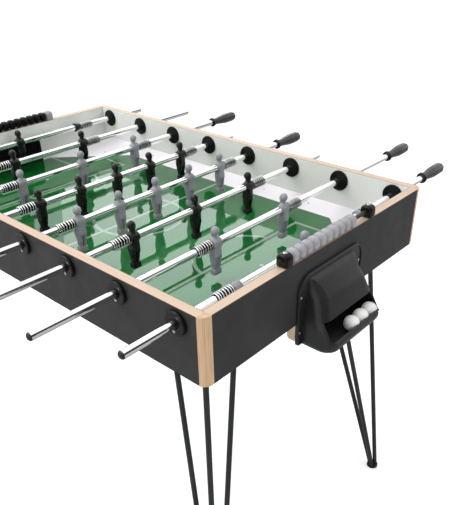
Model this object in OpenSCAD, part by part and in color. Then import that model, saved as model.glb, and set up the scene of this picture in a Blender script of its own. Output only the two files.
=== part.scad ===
// Foosball table: a wooden cabinet on four hairpin legs, eight player rods, two scorers, two ball boxes.
// Origin: on the floor under the middle of the cabinet. +X runs along the field, +Y across it, +Z up.

/* [Cabinet] */
// Outside length of the cabinet, along X
cabinet_l = 1170; // [1100:1:1300]
// Outside width of the cabinet, along Y
cabinet_w = 732; // [680:1:820]
// Height of the cabinet's panels
panel_h = 140; // [135:1:170]
// Whole thickness of a panel, with its laminate
panel_t = 21; // [18:0.5:25]
// Thickness of the laminate on each face of a panel
laminate_t = 0.8; // [0.6:0.1:1.2]
// Height of the rim above the floor
rim_z = 910; // [860:1:960]

/* [Field] */
// Depth of the glass's top face below the rim
field_drop = 114; // [110:1:118]
// Thickness of the glass
glass_t = 5; // [4:0.5:6]
// Thickness of the board under the glass
board_t = 12; // [9:1:15]
// Width of the sloped strip along each side of the field
ramp_w = 44; // [35:1:50]
// Height of the sloped strip where it meets the wall
ramp_h = 20; // [15:1:24]
// Leg of the sloped triangle in each corner, measured along the walls from the strip's inner edge
corner_run = 181; // [150:1:200]

/* [Rods] */
// Distance between neighbouring rods
rod_pitch = 150; // [145:1:152]
// Diameter of a rod
rod_d = 16; // [15.5:0.1:16.5]
// Depth of the rod axes below the rim
rod_drop = 29; // [28:0.5:34]
// Bore of a rod, which is a tube
rod_bore_d = 11; // [8:0.5:12]
// Length of a grip with its collar
grip_l = 106; // [95:1:115]
// Largest diameter of a grip
grip_d = 30; // [26:1:32]
// Length of a bumper spring
spring_l = 50; // [40:1:52]

/* [Figures] */
// Reach of a foot below the rod's axis
foot_reach = 70.5; // [62:0.5:72]
// Reach of a head above the rod's axis
head_reach = 37; // [32:0.5:37.5]
// Width of a figure's shoulders along the rod
shoulder_w = 25; // [22:1:26]

/* [Goals and ball boxes] */
// Width of a goal mouth
mouth_w = 180; // [160:2:186]
// Height of a goal mouth above the field
mouth_h = 74; // [60:1:76]
// Sideways offset of a ball box from the middle of its end
box_shift = -2; // [-8:1:8]
// Diameter of a ball
ball_d = 34; // [32:0.5:35]

/* [Scorers] */
// Number of beads on a scorer
bead_count = 10; // [10:1:10]
// Distance from bead to bead
bead_pitch = 21.4; // [20:0.1:21.8]
// Width and height of a bead
bead_size = 25; // [22:0.5:26]
// Distance from the middle of a scorer to the middle of its end blocks
block_y = 142; // [140:1:150]

/* [Legs] */
// Diameter of a leg's round bars
leg_bar_d = 12; // [10:0.5:14]
// Thickness of a leg's top plate
leg_plate_t = 4; // [3:0.5:5]

/* [Hidden] */
$fn = 48;
eps = 0.01;
gap = 0.2;                    // clearance between pieces that are fixed to each other
fit = 0.05;                   // radial clearance of a running fit
rods = [1:8];

// Cabinet
half_l = cabinet_l / 2;
half_w = cabinet_w / 2;
inner_l = half_l - panel_t;
inner_w = half_w - panel_t;
panel_z = rim_z - panel_h;
core_t = panel_t - 2 * laminate_t;
post_l = 15;                  // width of a corner post on the long side
post_round = [14, 19];        // how far a corner post's outer edge is rounded, along X and Y
tab_half_w = 111;             // the part of an end panel that hangs down behind a ball box
tab_drop = 50;
tab_r = 22;
field_z = rim_z - field_drop;
board_top = field_z - glass_t;
board_bottom = board_top - board_t;
axis_z = rim_z - rod_drop;

// Goal mouth
mouth_top = field_z + mouth_h;
mouth_r = 22;
liner_t = 2;
mouth_bottom = field_z - liner_t - gap;   // an end panel's lower rail ends here
rail_gap = 0.05;

// Bearings
flange_r = 23.5;
flange_t = 7.5;
flange_edge = 2.5;            // rounding of the outer flange
boss_r = 9.7;
boss_l = 4;
sleeve_r = 10;
dome_r = 25.5;
dome_steps = [[25.5, 4], [21, 7.5], [16.5, 10.5], [12, 13]];
screw_drop = 13.5;
screw_shank_r = 1.5;
screw_head_r = 3.5;

// Rods: the four kinds are a goalkeeper with two bumpers, then two, three or five figures
kind_of = ["keeper", "two", "three", "five", "five", "three", "two", "keeper"];
dark_team = [1, 2, 4, 6];
rest_shift = [1, 4, 3, 0, -1, -18, 1, -13];
tip_reach = [["keeper", 475], ["two", 553], ["three", 488], ["five", 446]];
figure_pitch = [["keeper", 0], ["two", 227], ["three", 185], ["five", 114]];
figure_count = [["keeper", 1], ["two", 2], ["three", 3], ["five", 5]];
bumper_y = 207;
bumper_r = 13;
bumper_w = 18;
cap_l = 5;
cap_plug_l = 12;
spring_outer_r = 13;
spring_inner_r = 10.8;
grip_inset = 18;              // how far a rod runs into its grip
collar_r = 13.5;
collar_l = 7;

// Score beads and blocks
score_axis_z = rim_z + 13;
score_axis_x = half_l - panel_t / 2;
score_rod_r = 4.5;
bead_chamfer = 5.5;
block_l = 22;
block_w = 26;
block_top = 13;

// Ball box, drawn about the end panel's outer face: x outward, z below the rim
box_wall = 2.5;
box_jamb = 10;                // how far the mouth's ends stand in from the hood's sides
box_half_w = 96;
box_flange_half_w = 111;
box_flange_t = 6;
box_flange_top = 35;
box_flange_bottom = 190;
box_profile = [[0, -45], [12, -53], [39, -91], [52, -127], [75, -166], [78, -178],
               [74, -188], [66, -195], [54, -196], [0, -186]];
box_mouth = [[52, -127], [75, -166]];
box_screw_z = [81, 162];
box_screw_inset = 9.5;
tray_z = -188.2;              // the tray's floor

// Legs: feet and the tops of the three bars, measured in from the cabinet's corner
leg_foot = [12, 12];
leg_tops = [[77, 76], [217, 119], [105, 197]];
leg_plate_margin = 16;
leg_foot_r = 16;
leg_foot_h = 7;
bar_seam = 40;                // keeps a bar's seam line clear of the edges where it joins
leg_foot_spread = 8.2;        // how far the bars' lower ends stand from the foot's middle

function find(table, key) = [for (row = table) if (row[0] == key) row[1]][0];
function rod_x(i) = (i - 4.5) * rod_pitch;
function kind(i) = kind_of[i - 1];
function shift(i) = rest_shift[i - 1];
function is_dark(i) = len([for (k = dark_team) if (k == i) k]) > 0;
// The dark team's grips stand out on the near side, the grey team's on the far side
function grip_side(i) = is_dark(i) ? -1 : 1;
function tip(i) = find(tip_reach, kind(i));
function figure_ys(i) = let (n = find(figure_count, kind(i)), p = find(figure_pitch, kind(i)))
    [for (k = [0:n - 1]) (k - (n - 1) / 2) * p];
function last_reach(i) = kind(i) == "keeper"
    ? bumper_y + bumper_w / 2 : figure_ys(i)[len(figure_ys(i)) - 1] + shoulder_w / 2;

// A corner rounded to radius r, as points: c is its centre, from and to are angles
function arc(c, r, from, to, n = 6) =
    [for (k = [0:n]) let (a = from + (to - from) * k / n) [c[0] + r * cos(a), c[1] + r * sin(a)]];

// Distance t inside the line from a to b, with the outline running clockwise
function inner_line(a, b, t) = let (d = (b - a) / norm(b - a), n = [d[1], -d[0]])
    [n[0], n[1], n * (a + n * t)];
function meet(p, q) = let (det = p[0] * q[1] - p[1] * q[0])
    [(p[2] * q[1] - p[1] * q[2]) / det, (p[0] * q[2] - p[2] * q[0]) / det];
function inset(outline, t) = let (n = len(outline))
    [for (k = [0:n - 1])
        meet(inner_line(outline[(k + n - 1) % n], outline[k], t),
             inner_line(outline[k], outline[(k + 1) % n], t))];

// ---------- helpers ----------

// A cylinder from y0 to y1 along Y
module y_cylinder(r, y0, y1) {
    translate([0, y1, 0]) rotate([90, 0, 0]) cylinder(r = r, h = y1 - y0);
}

// A box given by its lowest and highest corners
module block(low, high) {
    translate(low) cube(high - low);
}

// The children on both ends of the table; the far one is the near one turned half round
module on_both_ends() {
    children();
    rotate([0, 0, 180]) children();
}

// A solid of revolution about Y: the outline's first number is the distance along Y
module y_revolve(outline) {
    rotate([-90, 0, 0]) rotate_extrude() polygon([for (p = outline) [p[1], p[0]]]);
}

// A shape in the plane of an end panel (y across, z up), x_from to x_to
module end_extrude(x_from, x_to) {
    translate([x_from, 0, 0]) rotate([90, 0, 90]) linear_extrude(height = x_to - x_from) children();
}

// ---------- cabinet ----------

module side_bores(r, y0, y1) {
    for (i = rods) translate([rod_x(i), 0, axis_z]) y_cylinder(r, y0, y1);
}

module side_screw_holes(y0, y1) {
    for (i = rods) translate([rod_x(i), 0, axis_z - screw_drop]) y_cylinder(screw_shank_r + gap, y0, y1);
}

module side_panel(side) {
    y0 = half_w - panel_t + laminate_t;
    y1 = half_w - laminate_t;
    color("burlywood") mirror([0, side < 0 ? 1 : 0, 0]) difference() {
        block([-half_l + post_l, y0, panel_z], [half_l - post_l, y1, rim_z]);
        side_bores(sleeve_r + gap, y0 - 1, y1 + 1);
        side_screw_holes(y0 - 1, y1 + 1);
    }
}

// Outline of an end panel in y and z, with the tab that carries the ball box
module end_outline(half_width) {
    polygon(concat(
        [[-half_width, rim_z], [-half_width, panel_z], [box_shift - tab_half_w, panel_z]],
        arc([box_shift - tab_half_w + tab_r, panel_z - tab_drop + tab_r], tab_r, 180, 270),
        arc([box_shift + tab_half_w - tab_r, panel_z - tab_drop + tab_r], tab_r, 270, 360),
        [[box_shift + tab_half_w, panel_z], [half_width, panel_z], [half_width, rim_z]]));
}

// Outline of the goal mouth, grown by g
module mouth_outline(g) {
    w = mouth_w / 2 + g;
    polygon(concat(
        [[-w, field_z - g], [w, field_z - g]],
        arc([w - mouth_r, mouth_top + g - mouth_r], mouth_r, 0, 90),
        arc([-w + mouth_r, mouth_top + g - mouth_r], mouth_r, 90, 180)));
}

module end_panel() {
    color("burlywood") difference() {
        end_extrude(inner_l + laminate_t, half_l - laminate_t) difference() {
            end_outline(inner_w);
            mouth_outline(liner_t + gap);
        }
        // joint between the lower rail and the board with the goal mouth
        block([inner_l, -half_w, mouth_bottom - rail_gap], [half_l, half_w, mouth_bottom]);
        for (s = [-1, 1]) translate([score_axis_x, s * block_y, rim_z - 12]) cylinder(r = 1.7, h = 13);
        box_screw_places() end_screw_hole();
    }
}

module end_screw_hole() {
    translate([half_l - 14, 0, 0]) rotate([0, 90, 0]) cylinder(r = 1.7, h = 20);
}

module corner_posts() {
    color("tan") for (sx = [0, 1], sy = [0, 1]) mirror([sx, 0, 0]) mirror([0, sy, 0])
        translate([0, 0, panel_z]) linear_extrude(height = panel_h) polygon(concat(
            [[half_l - post_l, inner_w], [half_l, inner_w]],
            [for (p = arc([0, 0], 1, 0, 90, 12))
                [half_l - post_round[0] * (1 - p[0]), half_w - post_round[1] * (1 - p[1])]],
            [[half_l - post_l, half_w]]));
}

module outer_laminate() {
    y0 = half_w - laminate_t;
    color([0.24, 0.24, 0.25]) {
        for (s = [0, 1]) mirror([0, s, 0]) difference() {
            block([-half_l + post_l, y0, panel_z], [half_l - post_l, half_w, rim_z]);
            side_bores(sleeve_r + gap, y0 - 1, half_w + 1);
            side_screw_holes(y0 - 1, half_w + 1);
        }
        on_both_ends() difference() {
            end_extrude(half_l - laminate_t, half_l) difference() {
                end_outline(inner_w);
                mouth_outline(liner_t + gap);
            }
            box_screw_places() end_screw_hole();
        }
    }
}

module inner_laminate() {
    color([0.83, 0.84, 0.81]) {
        for (s = [0, 1]) mirror([0, s, 0]) difference() {
            block([-inner_l, inner_w, panel_z], [inner_l, inner_w + laminate_t, rim_z]);
            side_bores(sleeve_r + gap, inner_w - 1, inner_w + 2);
            side_screw_holes(inner_w - 1, inner_w + 2);
        }
        on_both_ends() end_extrude(inner_l, inner_l + laminate_t) difference() {
            translate([-inner_w + eps, panel_z]) square([2 * (inner_w - eps), panel_h]);
            mouth_outline(liner_t + gap);
        }
    }
}

// ---------- field ----------

module field_board() {
    color("burlywood") difference() {
        block([-inner_l + gap, -inner_w + gap, board_bottom], [inner_l - gap, inner_w - gap, board_top]);
        each_leg() leg_screw_places() cylinder(r = 1.7, h = 12, center = true);
    }
}

module field_glass() {
    color([0.16, 0.5, 0.25, 0.6])
        block([-inner_l + gap, -inner_w + gap, board_top], [inner_l - gap, inner_w - gap, field_z]);
}

module field_ramps() {
    run = corner_run / sqrt(2);
    low = inner_w - ramp_w;
    color([0.92, 0.91, 0.93]) for (sx = [0, 1], sy = [0, 1]) mirror([sx, 0, 0]) mirror([0, sy, 0]) {
        // strip along the side wall, half of the field's length
        translate([sx == 0 ? 0 : eps, 0, field_z]) rotate([90, 0, 90])
            linear_extrude(height = inner_l - gap - corner_run)
                polygon([[low, 0], [inner_w - gap, 0], [inner_w - gap, ramp_h]]);
        // triangle in the corner: the strip goes on, and a second slope rises towards the corner
        intersection() {
            translate([0, 0, field_z]) linear_extrude(height = ramp_h) polygon([
                [inner_l - gap - corner_run, inner_w - gap], [inner_l - gap - corner_run, low],
                [inner_l - gap, low - corner_run], [inner_l - gap, inner_w - gap]]);
            union() {
                translate([0, 0, field_z]) rotate([90, 0, 90]) linear_extrude(height = inner_l)
                    polygon([[low, 0], [inner_w, 0], [inner_w, ramp_h]]);
                translate([inner_l - gap - corner_run, low, field_z]) rotate([90, 0, 45])
                    translate([0, 0, -2 * run]) linear_extrude(height = 4 * run)
                        polygon([[0, 0], [1.3 * run, 0], [1.3 * run, 0.148 * 1.3 * run]]);
            }
        }
    }
}

module goal_liners() {
    color([0.06, 0.06, 0.06]) on_both_ends() end_extrude(inner_l, half_l) difference() {
        mouth_outline(liner_t);
        mouth_outline(0);
    }
}

// ---------- ball boxes ----------

module box_outline(g) {
    w = box_flange_half_w - g;
    top = -box_flange_top - g;
    bottom = -box_flange_bottom + g;
    top_r = 34 - g;
    low_r = 9;
    translate([box_shift, rim_z]) polygon(concat(
        arc([w - top_r, top - top_r], top_r, 0, 90), arc([-w + top_r, top - top_r], top_r, 90, 180),
        arc([-w + low_r, bottom + low_r], low_r, 180, 270), arc([w - low_r, bottom + low_r], low_r, 270, 360)));
}

// The hood's side profile, stretched along Y about the box's middle
module box_hood(outline, half_width) {
    translate([half_l, box_shift + half_width, rim_z]) rotate([90, 0, 0])
        linear_extrude(height = 2 * half_width) polygon(outline);
}

module box_screw_places() {
    for (s = [-1, 1], z = box_screw_z)
        translate([0, box_shift + s * (box_flange_half_w - box_screw_inset), rim_z - z])
        children();
}

module ball_box() {
    hollow = [for (p = inset(box_profile, box_wall)) p[0] < box_wall + 1 ? [-1, max(p[1], tray_z)]
        : [p[0], max(p[1], tray_z)]];
    color([0.14, 0.14, 0.15]) difference() {
        union() {
            end_extrude(half_l, half_l + box_flange_t) box_outline(0);
            box_hood(box_profile, box_half_w);
        }
        box_hood(hollow, box_half_w - box_wall);
        // mouth in the hood's front
        box_hood([box_mouth[0] + [-8, -1], box_mouth[0] + [30, -1], box_mouth[1] + [30, 0], box_mouth[1] + [-8, 0]],
                 box_half_w - box_jamb);
        // groove between the flange's raised rim and the hood
        end_extrude(half_l + box_flange_t - 3, half_l + box_flange_t + 1) difference() {
            box_outline(3.5);
            translate([box_shift - box_half_w, rim_z - 220]) square([2 * box_half_w, 220]);
        }
        box_screw_places() translate([half_l - 1, 0, 0]) rotate([0, 90, 0]) cylinder(r = 1.9, h = 20);
    }
}

// Three balls lie in the near box's tray, against its right-hand wall
ball_x = half_l + 55.5;
ball_z = rim_z + tray_z + ball_d / 2 + gap;
ball_step = ball_d + gap;
ball_last_y = box_shift + box_half_w - box_wall - ball_d / 2 - 0.4;
module balls() {
    color("white") for (k = [0:2]) translate([ball_x, ball_last_y - k * ball_step, ball_z]) sphere(d = ball_d);
}

// ---------- bearings ----------

module outer_bearing() {
    y1 = half_w + flange_t;
    difference() {
        union() {
            y_revolve(concat([[half_w, 0], [half_w, flange_r]],
                [for (p = arc([0, 0], flange_edge, 0, 90, 5)) [y1 - flange_edge + p[1], flange_r - flange_edge + p[0]]],
                [[y1, boss_r], [y1 + boss_l, boss_r - 1], [y1 + boss_l, 0]]));
            y_cylinder(sleeve_r, inner_w, half_w + eps);
        }
        y_cylinder(rod_d / 2 + fit, 0, half_w + 40);
        translate([0, 0, -screw_drop]) y_cylinder(screw_shank_r + gap, 0, half_w + 40);
    }
}

module inner_bearing() {
    difference() {
        y_revolve(concat([[inner_w, 0], [inner_w, dome_r]],
            [for (k = [0:3]) each [[inner_w - dome_steps[k][1] + 1, dome_steps[k][0]],
                                   [inner_w - dome_steps[k][1], dome_steps[k][0] - 1]]],
            [[inner_w - dome_steps[3][1], 0]]));
        y_cylinder(rod_d / 2 + fit, 0, half_w);
        translate([0, 0, -screw_drop]) y_cylinder(screw_shank_r + gap, inner_w - 5, half_w);
    }
}

module bearing_screw() {
    translate([0, 0, -screw_drop]) {
        y_cylinder(screw_head_r, half_w + flange_t, half_w + flange_t + 2);
        y_cylinder(screw_shank_r, inner_w - 4.5, half_w + flange_t + eps);
    }
}

module at_bearings() {
    for (i = rods, s = [0, 1]) mirror([0, s, 0]) translate([rod_x(i), 0, axis_z]) children();
}

module outer_bearings() { color([0.12, 0.12, 0.12]) at_bearings() outer_bearing(); }
module inner_bearings() { color([0.08, 0.08, 0.08]) at_bearings() inner_bearing(); }
module bearing_screws() { color("silver") at_bearings() bearing_screw(); }

// ---------- scorers ----------

module bead_outline(w, h_up, h_down, c) {
    polygon([[-w / 2 + c, h_up], [w / 2 - c, h_up], [w / 2, h_up - c], [w / 2, -h_down + c],
             [w / 2 - c, -h_down], [-w / 2 + c, -h_down], [-w / 2, -h_down + c], [-w / 2, h_up - c]]);
}

module score_bead(y) {
    translate([score_axis_x, y + (bead_pitch - gap) / 2, score_axis_z]) rotate([90, 0, 0])
        linear_extrude(height = bead_pitch - gap) difference() {
            bead_outline(bead_size, bead_size / 2, bead_size / 2 - 0.2, bead_chamfer);
            circle(r = score_rod_r + fit);
        }
}

module near_beads() {
    first = -block_y + block_l / 2 + bead_pitch / 2 + gap;
    for (k = [0:bead_count - 1]) score_bead(first + k * bead_pitch);
}

module near_blocks() {
    for (s = [-1, 1]) difference() {
        translate([score_axis_x, s * block_y + block_l / 2, score_axis_z]) rotate([90, 0, 0])
            linear_extrude(height = block_l) bead_outline(block_w, block_top, score_axis_z - rim_z, 6);
        translate([score_axis_x, 0, score_axis_z])
            y_cylinder(score_rod_r + gap, s > 0 ? 0 : -block_y - 5, s > 0 ? block_y + 5 : 0);
        translate([score_axis_x, s * block_y, rim_z - 1]) cylinder(r = 1.9, h = 40);
    }
}

module near_score_rod() {
    difference() {
        translate([score_axis_x, 0, score_axis_z]) y_cylinder(score_rod_r, -block_y - 4.8, block_y + 4.8);
        for (s = [-1, 1]) translate([score_axis_x, s * block_y, rim_z]) cylinder(r = 1.9, h = 40);
    }
}

module score_rods() { color([0.1, 0.1, 0.1]) on_both_ends() near_score_rod(); }
module score_blocks_near() { color([0.1, 0.1, 0.1]) near_blocks(); }
module score_blocks_far() { color([0.6, 0.61, 0.63]) rotate([0, 0, 180]) near_blocks(); }
module score_beads_near() { color([0.72, 0.72, 0.75]) near_beads(); }
module score_beads_far() { color([0.1, 0.1, 0.1]) rotate([0, 0, 180]) near_beads(); }

// ---------- screws ----------

module box_and_score_screws() {
    color("silver") on_both_ends() {
        for (s = [-1, 1]) translate([score_axis_x, s * block_y, score_axis_z + block_top]) {
            cylinder(r = 4.2, h = 2.2);
            translate([0, 0, -36]) cylinder(r = 1.6, h = 36 + eps);
        }
        box_screw_places() translate([half_l + box_flange_t - 3, 0, 0]) rotate([0, 90, 0]) {
            cylinder(r = 3.4, h = 2);
            translate([0, 0, -15]) cylinder(r = 1.6, h = 15 + eps);
        }
    }
}

// ---------- legs ----------

module each_leg() {
    for (sx = [0, 1], sy = [0, 1]) mirror([sx, 0, 0]) mirror([0, sy, 0]) children();
}

// A point measured in from the cabinet's corner, as a place in the table's own frame
function from_corner(p, z) = [half_l - p[0], half_w - p[1], z];
plate_bottom = board_bottom - leg_plate_t;
plate_middle = (leg_tops[0] + leg_tops[1] + leg_tops[2]) / 3;

// A round bar between two points
module bar(a, b, r) {
    d = b - a;
    translate(a) rotate([0, acos(d[2] / norm(d)), atan2(d[1], d[0])])
        rotate([0, 0, bar_seam]) cylinder(r = r, h = norm(d));
}

module leg_screw_places() {
    for (k = [0:2]) translate(from_corner(plate_middle + (leg_tops[(k + 1) % 3] + leg_tops[k]
        - 2 * plate_middle) * 0.42, board_bottom)) children();
}

module leg() {
    color([0.07, 0.07, 0.07]) difference() {
        union() {
            for (t = leg_tops) let (out = (t - plate_middle) / norm(t - plate_middle))
                bar(from_corner(leg_foot + out * leg_foot_spread, leg_foot_h / 2),
                    from_corner(t, plate_bottom + leg_plate_t / 2), leg_bar_d / 2);
            translate(from_corner(leg_foot, 0)) cylinder(r = leg_foot_r, h = leg_foot_h);
            translate([0, 0, plate_bottom]) linear_extrude(height = leg_plate_t) polygon([
                for (k = [0:2], e = [-1, 1]) let (a = leg_tops[k], u = leg_tops[(k + 3 + e) % 3] - a,
                    out = (a - plate_middle) / norm(a - plate_middle),
                    q = a + out * leg_plate_margin + u / norm(u) * 9)
                    [half_l - q[0], half_w - q[1]]]);
        }
        leg_screw_places() cylinder(r = 2.2, h = 20, center = true);
    }
}

module leg_near_right() { leg(); }
module leg_near_left() { mirror([0, 1, 0]) leg(); }
module leg_far_right() { mirror([1, 0, 0]) leg(); }
module leg_far_left() { mirror([1, 0, 0]) mirror([0, 1, 0]) leg(); }

module leg_screws() {
    color("silver") each_leg() leg_screw_places() {
        translate([0, 0, -leg_plate_t - 2.4]) cylinder(r = 4, h = 2.4);
        translate([0, 0, -leg_plate_t - eps]) cylinder(r = 1.5, h = leg_plate_t + 5.5);
    }
}

// ---------- player rods ----------

// The children in rod i's own frame: origin on its axis at mid width, y towards its grip
module on_rod(i) {
    translate([rod_x(i), shift(i), axis_z]) rotate([0, 0, grip_side(i) > 0 ? 0 : 180]) children();
}

function rod_end(i) = tip(i) + 26 + grip_inset;

module rod(i) {
    color("silver") on_rod(i) difference() {
        y_cylinder(rod_d / 2, -tip(i) + cap_l, rod_end(i));
        y_cylinder(rod_bore_d / 2, -tip(i) - 1, rod_end(i) + 1);
    }
}

module grip(i) {
    start = tip(i) + 26;
    stop = start + grip_l;
    mid = start + 0.62 * grip_l;
    color([0.15, 0.15, 0.15]) on_rod(i) {
        // collar and faceted grip in one moulding, with a blind socket for the rod
        difference() {
            union() {
                y_cylinder(collar_r, start, start + collar_l);
                translate([0, start, 0]) rotate([-90, 22.5, 0]) rotate_extrude($fn = 8) polygon([
                    [0, 2], [10.5, 2], [10.2, collar_l + 4], [12.5, 0.3 * grip_l], [grip_d / 2, 0.62 * grip_l],
                    [grip_d / 2 - 0.5, 0.78 * grip_l], [10.5, 0.92 * grip_l], [6, grip_l], [0, grip_l]]);
            }
            y_cylinder(rod_d / 2 + gap / 4, start - 1, rod_end(i) + 0.5);
        }
        // domed cap on the rod's other end, with a plug that fills the bore
        y_revolve(concat([for (p = arc([0, 0], 1, 0, 90, 8))
            [-tip(i) + cap_l * (1 - p[1]), rod_d / 2 * p[0]]], [[-tip(i) + cap_l, 0]]));
        y_cylinder(rod_bore_d / 2 - gap / 4, -tip(i) + cap_l - eps, -tip(i) + cap_l + cap_plug_l);
    }
}

// One figure on the rod's axis, upright, its chest towards +X
module figure() {
    front = [[-12.5, 3], [-11, 10.5], [-6, 14], [6, 14], [11, 10.5], [12.5, 3], [12.5, -6], [10.5, -17],
             [9.5, -27], [8.5, -40], [7, -foot_reach + 13], [9.5, -foot_reach + 12], [9.5, -foot_reach],
             [-9.5, -foot_reach], [-9.5, -foot_reach + 12], [-7, -foot_reach + 13], [-8.5, -40], [-9.5, -27],
             [-10.5, -17], [-12.5, -6]];
    side = [[-11, 2], [-8, 10], [-4, 14], [4, 14], [8, 10], [11, 2], [10.5, -10], [8.5, -20], [7.5, -35],
            [5.5, -foot_reach + 14], [6, -foot_reach + 12], [6, -foot_reach], [-6, -foot_reach],
            [-6, -foot_reach + 12], [-5.5, -foot_reach + 14], [-7.5, -35], [-9, -20], [-10.5, -10]];
    difference() {
        union() {
            intersection() {
                rotate([90, 0, 90]) linear_extrude(height = 40, center = true) polygon(front);
                rotate([90, 0, 0]) linear_extrude(height = 40, center = true) polygon(side);
            }
            y_cylinder(11.5, -shoulder_w / 2, shoulder_w / 2);
            rotate_extrude() polygon(concat([[0, 8], [5.5, 8], [5.5, 15]],
                [for (a = [-60:30:60]) [9.5 * cos(a), head_reach - 12 + 12 * sin(a)]], [[0, head_reach]]));
        }
        y_cylinder(rod_d / 2 + gap / 4, -30, 30);
    }
}

module bumper() {
    difference() {
        y_revolve([[-bumper_w / 2, 0], [-bumper_w / 2, bumper_r], [-bumper_w / 2 + 3, bumper_r], [-bumper_w / 2 + 4, bumper_r - 2],
                   [2, bumper_r - 1.5], [6, bumper_r - 3.5], [bumper_w / 2, bumper_r - 4], [bumper_w / 2, 0]]);
        y_cylinder(rod_d / 2 + gap / 4, -30, 30);
    }
}

module players(i) {
    color(is_dark(i) ? [0.1, 0.1, 0.1] : [0.5, 0.52, 0.55]) translate([rod_x(i), shift(i), axis_z]) {
        for (y = figure_ys(i)) translate([0, y, 0]) rotate([0, 0, is_dark(i) ? 0 : 180]) figure();
        if (kind(i) == "keeper") for (s = [0, 1]) mirror([0, s, 0]) translate([0, bumper_y, 0]) bumper();
    }
}

// Loose bumper springs, drawn as plain sleeves of the springs' outer size
module springs(i) {
    start = last_reach(i) + 0.4;
    color("silver") translate([rod_x(i), shift(i), axis_z]) for (s = [0, 1]) mirror([0, s, 0])
        difference() {
            y_cylinder(spring_outer_r, start, start + spring_l);
            y_cylinder(spring_inner_r, start - 1, start + spring_l + 1);
        }
}

side_panel(-1);  // side_panel_near
side_panel(1);  // side_panel_far
end_panel();  // end_panel_near
rotate([0, 0, 180]) end_panel();  // end_panel_far
corner_posts();
outer_laminate();
inner_laminate();
field_board();
field_glass();
field_ramps();
goal_liners();
ball_box();  // ball_box_near
rotate([0, 0, 180]) ball_box();  // ball_box_far
balls();
outer_bearings();
inner_bearings();
bearing_screws();
score_rods();
score_blocks_near();
score_blocks_far();
score_beads_near();
score_beads_far();
leg_near_left();
leg_near_right();
leg_far_left();
leg_far_right();
box_and_score_screws();
leg_screws();
for (i = rods) {
    rod(i);
    players(i);
    grip(i);
    springs(i);
}
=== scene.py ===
import math

import bmesh
import bpy
from mathutils import Matrix, Vector


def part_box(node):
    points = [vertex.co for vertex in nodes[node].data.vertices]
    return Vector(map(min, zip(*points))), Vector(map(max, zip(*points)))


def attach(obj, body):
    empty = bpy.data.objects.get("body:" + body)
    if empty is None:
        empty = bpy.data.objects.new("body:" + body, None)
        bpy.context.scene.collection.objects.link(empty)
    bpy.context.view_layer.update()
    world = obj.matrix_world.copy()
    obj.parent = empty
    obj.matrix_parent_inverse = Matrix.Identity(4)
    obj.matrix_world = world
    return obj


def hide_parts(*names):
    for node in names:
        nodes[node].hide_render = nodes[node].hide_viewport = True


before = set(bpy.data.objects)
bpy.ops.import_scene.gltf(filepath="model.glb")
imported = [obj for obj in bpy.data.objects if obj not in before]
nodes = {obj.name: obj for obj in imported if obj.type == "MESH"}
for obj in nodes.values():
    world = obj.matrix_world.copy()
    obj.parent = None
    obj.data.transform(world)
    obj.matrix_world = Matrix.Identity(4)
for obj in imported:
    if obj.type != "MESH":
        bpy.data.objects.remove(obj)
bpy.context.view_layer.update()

MM = 0.001
RIM_Z = 910.0                 # height of the cabinet's rim, and the zero of the heights named below
scene = bpy.context.scene


# ---------- mesh helpers: they work in millimetres ----------

def make(name, bm, material, body, slot, sharp=40.0):
    """A new object from bm, riding on body. Edges sharper than `sharp` degrees stay crisp."""
    mesh = bpy.data.meshes.new(name)
    bm.to_mesh(mesh)
    bm.free()
    mesh.transform(Matrix.Scale(MM, 4))
    for p in mesh.polygons:
        p.use_smooth = True
    mesh.set_sharp_from_angle(angle=math.radians(sharp))
    obj = bpy.data.objects.new(name, mesh)
    scene.collection.objects.link(obj)
    mesh.materials.append(material)
    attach(obj, body)
    return obj


def apply_modifiers(obj):
    """Replaces an object's mesh by what its modifiers make of it."""
    graph = bpy.context.evaluated_depsgraph_get()
    mesh = bpy.data.meshes.new_from_object(obj.evaluated_get(graph))
    obj.modifiers.clear()
    old, obj.data = obj.data, mesh
    bpy.data.meshes.remove(old)


def temp_object(bm):
    """A helper object that holds bm while modifiers run on it."""
    mesh = bpy.data.meshes.new("work")
    bm.to_mesh(mesh)
    bm.free()
    obj = bpy.data.objects.new("work", mesh)
    scene.collection.objects.link(obj)
    return obj


def discard(obj):
    """Removes a helper object and its mesh."""
    mesh = obj.data
    bpy.data.objects.remove(obj)
    bpy.data.meshes.remove(mesh)


def take_mesh(obj):
    """The mesh of a helper object as a bmesh; the object is removed."""
    apply_modifiers(obj)
    bm = bmesh.new()
    bm.from_mesh(obj.data)
    discard(obj)
    return bm


def add_loft(bm, rings, closed_ends=True):
    """Joins rings of points, each with the same count, by faces."""
    rows = [[bm.verts.new(p) for p in ring] for ring in rings]
    n = len(rows[0])
    for a, b in zip(rows, rows[1:]):
        for k in range(n):
            bm.faces.new((a[k], a[(k + 1) % n], b[(k + 1) % n], b[k]))
    if closed_ends:
        bm.faces.new(list(reversed(rows[0])))
        bm.faces.new(rows[-1])


def fix_normals(bm):
    """bm with all its faces turned outwards."""
    bmesh.ops.recalc_face_normals(bm, faces=bm.faces)
    return bm


def add_mesh(bm, other, matrix=None):
    """Copies another bmesh into bm, moved by matrix."""
    mesh = bpy.data.meshes.new("copy")
    other.to_mesh(mesh)
    if matrix is not None:
        mesh.transform(matrix)
    bm.from_mesh(mesh)
    bpy.data.meshes.remove(mesh)


def ring_y(y, radius, count=32, cx=0.0, cz=0.0, phase=0.0):
    """A circle or regular polygon about the Y axis."""
    out = []
    for k in range(count):
        a = phase + 2 * math.pi * k / count
        out.append((cx + radius * math.cos(a), y, cz - radius * math.sin(a)))
    return out


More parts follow.
